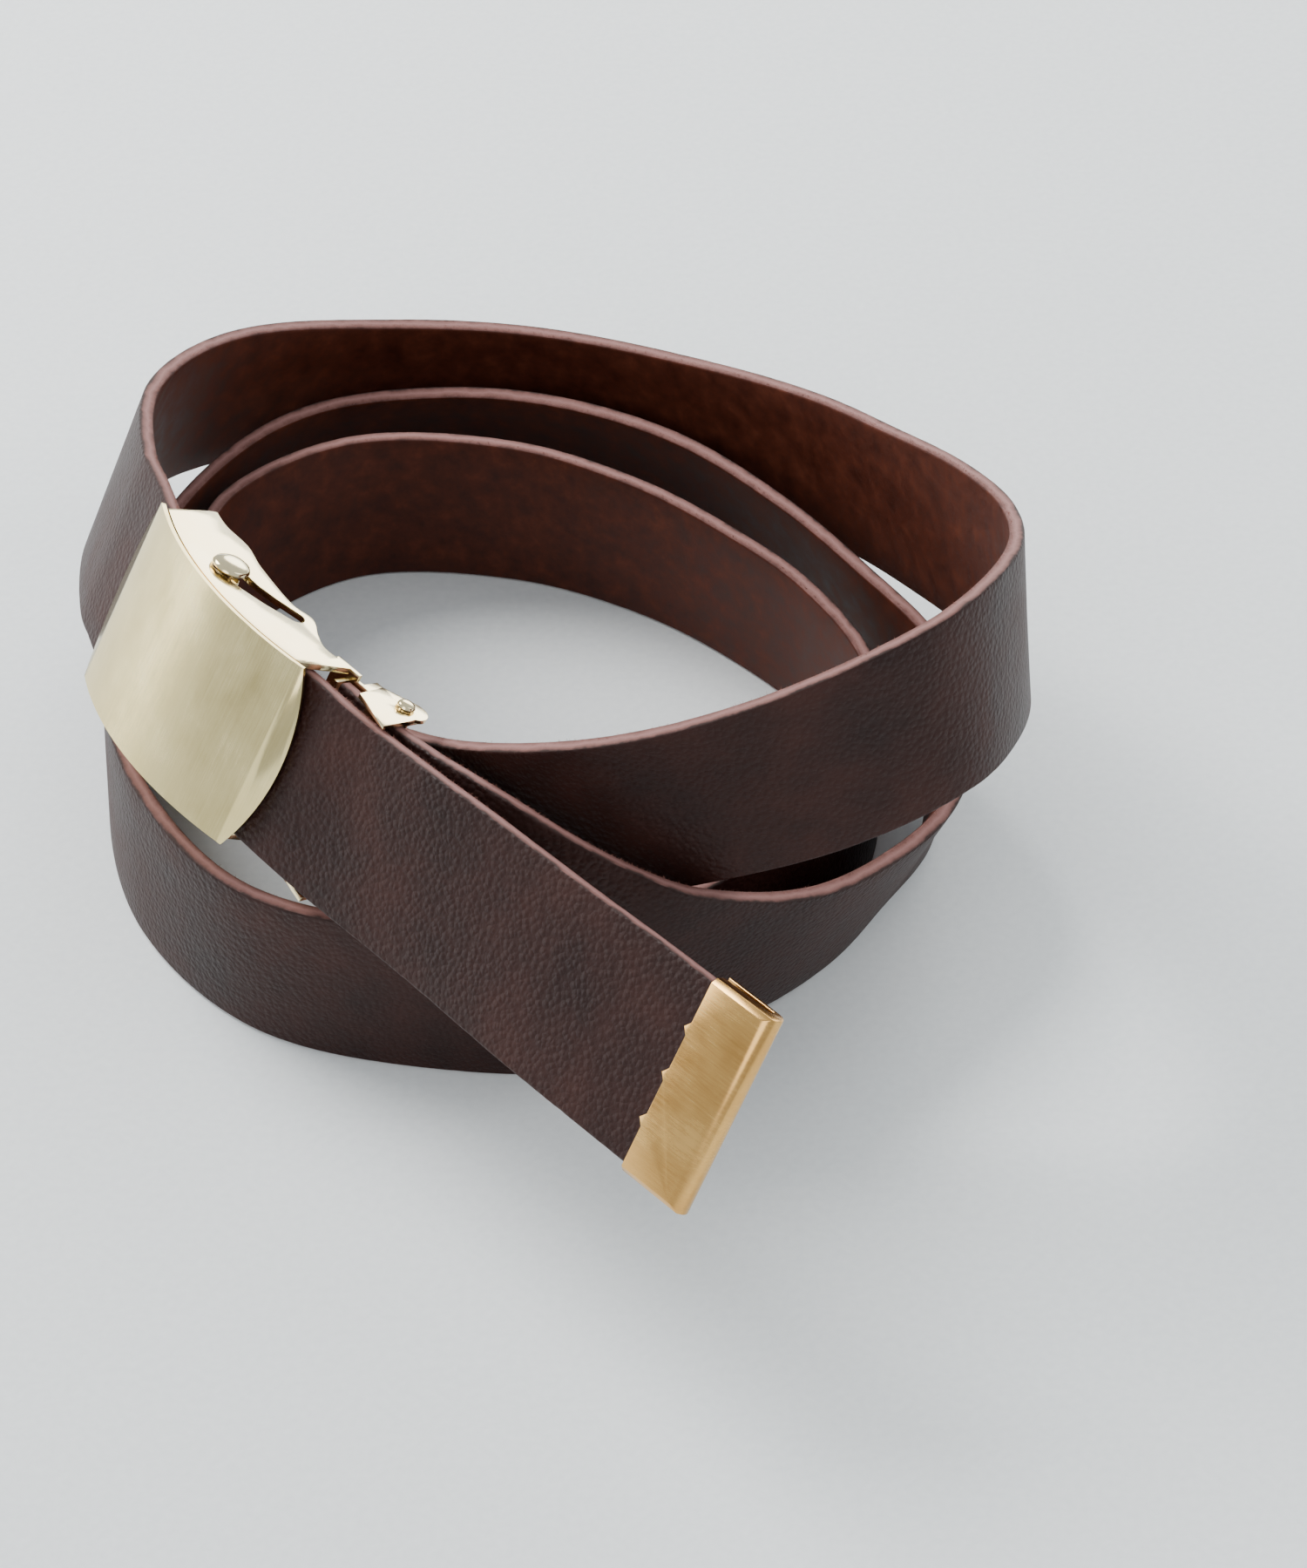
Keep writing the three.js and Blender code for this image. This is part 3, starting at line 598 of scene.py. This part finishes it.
outward(strap_mesh)
strap_mesh.shade_smooth()
strap = bpy.data.objects.new("strap_leather_band", strap_mesh)
bpy.context.collection.objects.link(strap)
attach(strap, "belt")
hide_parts("leather_strap")
print("strap faces", len(strap_mesh.polygons))

# %% [markdown]
# ## Loose fibres on the raw edges
# Where thick leather is cut, short fibres stand out of the flesh half of the edge. They are tiny, but they
# break the hard outline. Geometry Nodes puts a thin cone on every point of a line of points that runs
# along the upper cut edge, and the result becomes a plain mesh. The sizes of the cones follow a fixed seed.
# Their places and leans don't: noise_vector gives slightly different ones each time the script runs.

# %% Points along the upper edge, each with the way its fibre leans
FIBRES_PER_STATION = 5
FIBRE_ROOM = 0.0006
BARE_STATIONS = 60
fibre_points = []
fibre_leans = []
for index in range(BARE_STATIONS, stations - BARE_STATIONS):
    at, forward, across, out = frames[index]
    for repeat in range(FIBRES_PER_STATION):
        pick = Vector((index * 1.37, repeat * 4.1, 2.0))
        sway = wander.noise_vector(pick * 3.3)
        place = at + out * (-0.55 + 0.45 * sway.x) + across * (half_across - 0.1) + forward * sway.z
        place = place * MM + shift
        if place.z > cad_box[1][2] - FIBRE_ROOM:
            continue
        fibre_points.append(tuple(place))
        fibre_leans.append(across * 0.35 + forward * sway.y + out * (sway.z * 0.7 - 0.25))
point_mesh = bpy.data.meshes.new("edge_fibres")
point_mesh.from_pydata(fibre_points, [], [])
lean = point_mesh.attributes.new("lean", "FLOAT_VECTOR", "POINT")
lean.data.foreach_set("vector", [value for vector in fibre_leans for value in vector])
edge_fibres = bpy.data.objects.new("edge_fibres", point_mesh)
bpy.context.collection.objects.link(edge_fibres)
print(len(fibre_points), "fibres")

# %% The fibre nodes
fibre_tree = bpy.data.node_groups.new("stand_fibres", "GeometryNodeTree")
sockets = {}
for title, kind in (("Points", "Geometry"), ("Length", "Float"), ("Thickness", "Float"), ("Seed", "Int"),
                    ("Finish", "Material")):
    sockets[title] = fibre_tree.interface.new_socket(title, in_out="INPUT", socket_type="NodeSocket" + kind)
fibre_tree.interface.new_socket("Fibres", in_out="OUTPUT", socket_type="NodeSocketGeometry")
start = fibre_tree.nodes.new("NodeGroupInput")
end = fibre_tree.nodes.new("NodeGroupOutput")
cone = fibre_tree.nodes.new("GeometryNodeMeshCone")
cone.inputs["Vertices"].default_value = 3
fibre_tree.links.new(start.outputs["Thickness"], cone.inputs["Radius Bottom"])
fibre_tree.links.new(start.outputs["Length"], cone.inputs["Depth"])
direction = fibre_tree.nodes.new("GeometryNodeInputNamedAttribute")
direction.data_type = "FLOAT_VECTOR"
direction.inputs["Name"].default_value = "lean"
align = fibre_tree.nodes.new("FunctionNodeAlignRotationToVector")
align.axis = "Z"
fibre_tree.links.new(direction.outputs["Attribute"], align.inputs["Vector"])
size = fibre_tree.nodes.new("FunctionNodeRandomValue")
size.data_type = "FLOAT"
size.inputs["Min"].default_value = 0.25
size.inputs["Max"].default_value = 1.0
fibre_tree.links.new(start.outputs["Seed"], size.inputs["Seed"])
stand = fibre_tree.nodes.new("GeometryNodeInstanceOnPoints")
fibre_tree.links.new(start.outputs["Points"], stand.inputs["Points"])
fibre_tree.links.new(cone.outputs["Mesh"], stand.inputs["Instance"])
fibre_tree.links.new(align.outputs["Rotation"], stand.inputs["Rotation"])
fibre_tree.links.new(size.outputs["Value"], stand.inputs["Scale"])
realize = fibre_tree.nodes.new("GeometryNodeRealizeInstances")
fibre_tree.links.new(stand.outputs["Instances"], realize.inputs["Geometry"])
finish = fibre_tree.nodes.new("GeometryNodeSetMaterial")
fibre_tree.links.new(realize.outputs["Geometry"], finish.inputs["Geometry"])
fibre_tree.links.new(start.outputs["Finish"], finish.inputs["Material"])
fibre_tree.links.new(finish.outputs["Geometry"], end.inputs["Fibres"])
print(len(fibre_tree.nodes), "fibre nodes")

# %% Grow the fibres and keep them as a plain mesh
FIBRE_LENGTH = 0.0007
FIBRE_THICKNESS = 0.00005
FIBRE_SEED = 7
fibre_finish, tree, shader = new_material("leather_fibre")
tone = add_noise(tree, object_place(tree), 300, 3)
colour = add_ramp(tree, tone, [(0.35, (0.20, 0.075, 0.055)), (0.7, (0.36, 0.17, 0.135))])
tree.links.new(colour, shader.inputs["Base Color"])
shader.inputs["Roughness"].default_value = 0.9
modifier = edge_fibres.modifiers.new("stand_fibres", "NODES")
modifier.node_group = fibre_tree
for title, value in (("Length", FIBRE_LENGTH), ("Thickness", FIBRE_THICKNESS), ("Seed", FIBRE_SEED),
                     ("Finish", fibre_finish)):
    modifier[sockets[title].identifier] = value
edge_fibres.update_tag()
depsgraph = bpy.context.evaluated_depsgraph_get()
grown = bpy.data.meshes.new_from_object(edge_fibres.evaluated_get(depsgraph), depsgraph=depsgraph)
edge_fibres.modifiers.clear()
edge_fibres.data = grown
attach(edge_fibres, "belt")
print("fibre triangles", sum(len(face.vertices) - 2 for face in grown.polygons))

# %% [markdown]
# ## Gold finishes
# The hardware is plated zinc or brass. The front plate is satin: brushed across the strap's width, with
# polished lips. The frame, jaw, bar and rivets are polished pale gold. The tip is a warmer gold with fine
# scratches. The buckle's pattern is laid in the buckle's own directions, and the tip's in the tip's.


# %% A metal finish with hair lines laid in a given frame
LINE_SHARE = 0.45
LINE_STRENGTH = 0.2
LIP_ROUGHNESS = 0.12
LIP_BLEND = 0.0002


def smoother_lips(tree, place, rough):
    """The roughness, with polish beyond the front plate's two creases."""
    parts = tree.nodes.new("ShaderNodeSeparateXYZ")
    tree.links.new(place, parts.inputs["Vector"])
    along = add_math(tree, "ABSOLUTE", parts.outputs["X"])
    crease = PLATE_LENGTH / 2 * MM
    shine = tree.nodes.new("ShaderNodeMix")
    tree.links.new(add_range(tree, along, crease - LIP_BLEND, crease + LIP_BLEND), shine.inputs["Factor"])
    tree.links.new(rough, shine.inputs["A"])
    shine.inputs["B"].default_value = LIP_ROUGHNESS
    return shine.outputs["Result"]


def metal_finish(name, colours, roughness, frame_at, stretch, depth, lips=False):
    material, tree, shader = new_material(name)
    turn = tree.nodes.new("ShaderNodeMapping")
    turn.vector_type = "TEXTURE"
    turn.inputs["Location"].default_value = frame_at.to_translation()
    turn.inputs["Rotation"].default_value = frame_at.to_euler("XYZ")
    tree.links.new(object_place(tree), turn.inputs["Vector"])
    squeeze = tree.nodes.new("ShaderNodeVectorMath")
    squeeze.operation = "MULTIPLY"
    squeeze.inputs[1].default_value = stretch
    tree.links.new(turn.outputs["Vector"], squeeze.inputs[0])
    pattern = add_group(tree, hairlines, squeeze.outputs["Vector"])
    tree.links.new(object_place(tree), pattern.inputs["Smudge Place"])
    smudge = add_math(tree, "MULTIPLY", pattern.outputs["Smudge"], 1 - LINE_SHARE)
    mix = add_math(tree, "MULTIPLY_ADD", pattern.outputs["Lines"], LINE_SHARE, smudge)
    colour = add_ramp(tree, mix, [(0.32, colours[0]), (0.68, colours[1])])
    tree.links.new(colour, shader.inputs["Base Color"])
    shader.inputs["Metallic"].default_value = 1
    rough = add_range(tree, mix, 0.35, 0.65, *roughness)
    if lips:
        rough = smoother_lips(tree, turn.outputs["Vector"], rough)
    tree.links.new(rough, shader.inputs["Roughness"])
    add_bump(tree, pattern.outputs["Lines"], LINE_STRENGTH, depth)
    return material


buckle_middle = shift + buckle_frame.to_translation() * MM
buckle_place = Matrix.Translation(buckle_middle) @ buckle_turn
satin_gold = metal_finish(
    "satin_plate_gold", colours=((0.62, 0.50, 0.22), (0.81, 0.68, 0.35)), roughness=(0.18, 0.30),
    frame_at=buckle_place, stretch=(5200, 300, 90), depth=2e-5, lips=True)
print(satin_gold.name, "ready")

# %% Polished and warm gold
bright_gold = metal_finish(
    "polished_pale_gold", colours=((0.84, 0.69, 0.38), (0.94, 0.81, 0.52)), roughness=(0.10, 0.20),
    frame_at=buckle_place, stretch=(900, 900, 60), depth=6e-6)
tip_low, tip_high = (Vector(corner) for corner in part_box("strap_tip"))
_, tip_forward, tip_across, tip_out = frames[0]
tip_turn = Matrix((-tip_forward, -tip_out, tip_across)).transposed()
tip_place = Matrix.Translation((tip_low + tip_high) / 2) @ tip_turn.to_4x4()
warm_gold = metal_finish(
    "warm_tip_gold", colours=((0.56, 0.30, 0.085), (0.74, 0.45, 0.15)), roughness=(0.18, 0.31),
    frame_at=tip_place, stretch=(150, 900, 2600), depth=1.2e-5)
print(bright_gold.name, "and", warm_gold.name, "ready")

# %% [markdown]
# ## Metal pieces
# Stamped and turned metal never has knife edges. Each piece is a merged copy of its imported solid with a
# fine bevel on the sharp edges, so that every edge catches a thin line of light as plated metal does.

# %% Dress each metal piece
SHARP = math.radians(32)
NEARLY_FLAT = math.radians(0.4)
MERGE_WITHIN = 4e-6


def dress(node, name, body, finish, bevel, crease=38):
    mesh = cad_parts[node].data.copy()
    mesh.name = name
    work = bmesh.new()
    work.from_mesh(mesh)
    bmesh.ops.remove_doubles(work, verts=work.verts, dist=MERGE_WITHIN)
    bmesh.ops.dissolve_limit(work, angle_limit=NEARLY_FLAT, verts=work.verts, edges=work.edges)
    bmesh.ops.recalc_face_normals(work, faces=work.faces)
    sharp = [edge for edge in work.edges if edge.is_manifold and edge.calc_face_angle() > SHARP]
    bmesh.ops.bevel(work, geom=sharp, offset=bevel * MM, offset_type="OFFSET", segments=2, profile=0.5,
                    affect="EDGES", clamp_overlap=True)
    bmesh.ops.triangulate(work, faces=[face for face in work.faces if len(face.verts) > 4])
    bmesh.ops.recalc_face_normals(work, faces=work.faces)
    work.to_mesh(mesh)
    work.free()
    mesh.shade_smooth()
    mesh.set_sharp_from_angle(angle=math.radians(crease))
    mesh.materials.clear()
    mesh.materials.append(finish)
    piece = bpy.data.objects.new(name, mesh)
    bpy.context.collection.objects.link(piece)
    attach(piece, body)
    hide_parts(node)
    print(name, len(mesh.polygons), "faces,", len(sharp), "edges bevelled")


dress("front_plate", "front_plate_satin", "belt", satin_gold, 0.26, crease=22)
dress("buckle_frame", "buckle_frame_polished", "belt", bright_gold, 0.14)
dress("locking_bar", "locking_bar_polished", "bar", bright_gold, 0.08)
dress("clamp_jaw", "clamp_jaw_polished", "jaw", bright_gold, 0.08)
dress("upper_pivot_rivet", "upper_rivet_polished", "belt", bright_gold, 0.06)
dress("lower_pivot_rivet", "lower_rivet_polished", "belt", bright_gold, 0.06)
dress("strap_tip", "strap_tip_warm", "belt", warm_gold, 0.12)
